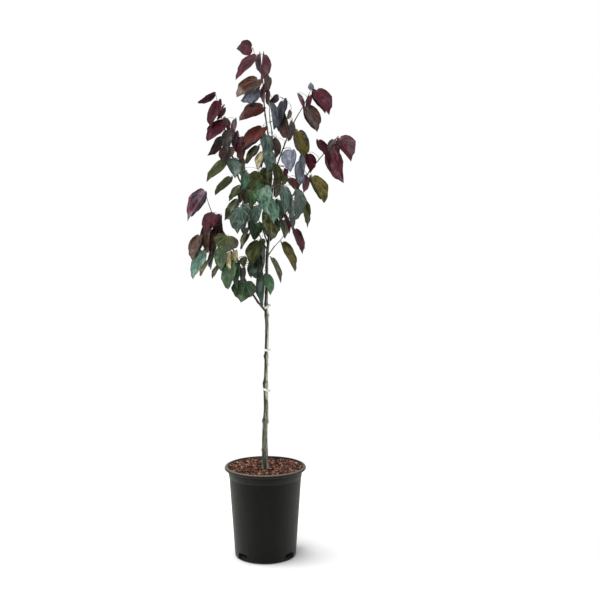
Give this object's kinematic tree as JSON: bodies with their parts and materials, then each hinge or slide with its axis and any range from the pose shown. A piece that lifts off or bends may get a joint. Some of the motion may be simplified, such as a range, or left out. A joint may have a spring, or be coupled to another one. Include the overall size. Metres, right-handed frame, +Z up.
{
  "type": "potted redbud tree",
  "caption": "Young purple-leaved redbud with a slim tied trunk and an open leafy crown, growing in a tall round nursery pot filled with bark.",
  "frame": {"origin": "centre of the pot's flat underside, which stands on the ground", "axes": "+Z up along the pot's axis; -Y towards the viewer of the tree's best side; +X to that viewer's right"},
  "size_m": [0.5469, 0.3874, 1.6864],
  "materials": {
    "pot": "matt black moulded plastic, a little dusty at the rim",
    "growing_medium": "loose red-brown bark granules",
    "bark": "smooth grey-green young bark with darker nodes",
    "young_leaves": "burgundy leaves with a soft sheen",
    "grown_leaves": "dull blue-green and olive leaves",
    "tie": "white soft plastic"
  },
  "bodies": {
    "root": {"pot": "pot", "growing_medium": "growing_medium", "trunk": "bark", "leader": "bark", "lower_left_bough": "bark", "low_back_bough": "bark", "lower_right_bough": "bark", "front_left_bough": "bark", "back_left_bough": "bark", "front_bough": "bark", "back_right_bough": "bark", "back_bough": "bark", "right_bough": "bark", "upper_left_bough": "bark", "upper_right_bough": "bark", "upper_middle_bough": "bark", "tie_lower": "tie", "tie_middle": "tie", "tie_upper": "tie", "top_spray": "young_leaves", "upper_left_spray": "young_leaves", "upper_middle_spray": "young_leaves", "upper_right_spray": "young_leaves", "right_spray": "young_leaves", "middle_mass": "young_leaves", "middle_right_spray": "young_leaves", "inner_left_spray": "grown_leaves", "right_side_spray": "grown_leaves", "front_mass": "grown_leaves", "front_left_spray": "grown_leaves", "left_spray": "young_leaves", "drooping_spray": "grown_leaves", "lower_left_spray": "grown_leaves", "low_spray": "grown_leaves", "lower_right_spray": "grown_leaves", "inner_mass": "grown_leaves", "back_top_mass": "young_leaves", "back_left_mass": "grown_leaves", "back_right_mass": "grown_leaves", "low_back_spray": "grown_leaves"}
  },
  "joints": []
}
